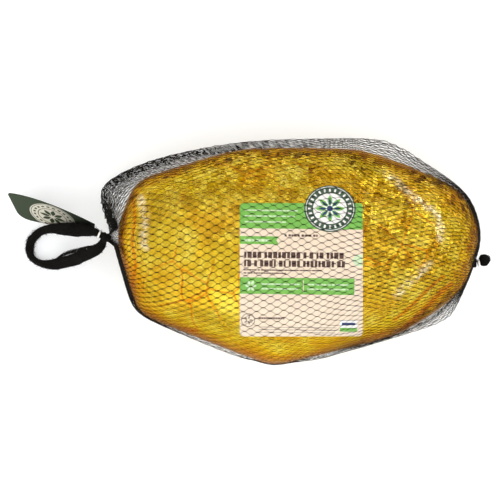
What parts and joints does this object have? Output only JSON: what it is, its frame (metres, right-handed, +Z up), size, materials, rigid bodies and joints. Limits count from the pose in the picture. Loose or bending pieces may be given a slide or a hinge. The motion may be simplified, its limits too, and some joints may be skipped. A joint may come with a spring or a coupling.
{
  "type": "foil-wrapped spiral cut ham in a carrying net",
  "caption": "Whole ham lying on its side, wrapped in crinkled gold foil with a printed label, inside a knitted black net tied off at each end, with a rope handle and a card tag.",
  "frame": {"origin": "middle of the flat patch on the underside that the ham rests on", "axes": "+Z up, the labelled side on top; +X along the ham from the handle to the short cut tail; +Y towards the side where the net is loose"},
  "size_m": [0.3784, 0.1766, 0.1354],
  "materials": {
    "gold_foil": "crinkled bright gold foil under a black knitted net",
    "label_paper": "satin coated paper, cream with green bands",
    "black_net": "black knitted netting",
    "clip_metal": "bright crimped metal",
    "tag_card": "dark green coated card"
  },
  "bodies": {
    "root": {"netted_ham": "gold_foil", "label": "label_paper", "carrying_loop": "black_net", "left_clip": "clip_metal", "tag": "tag_card", "right_clip": "clip_metal", "cut_tail": "black_net"}
  },
  "joints": []
}
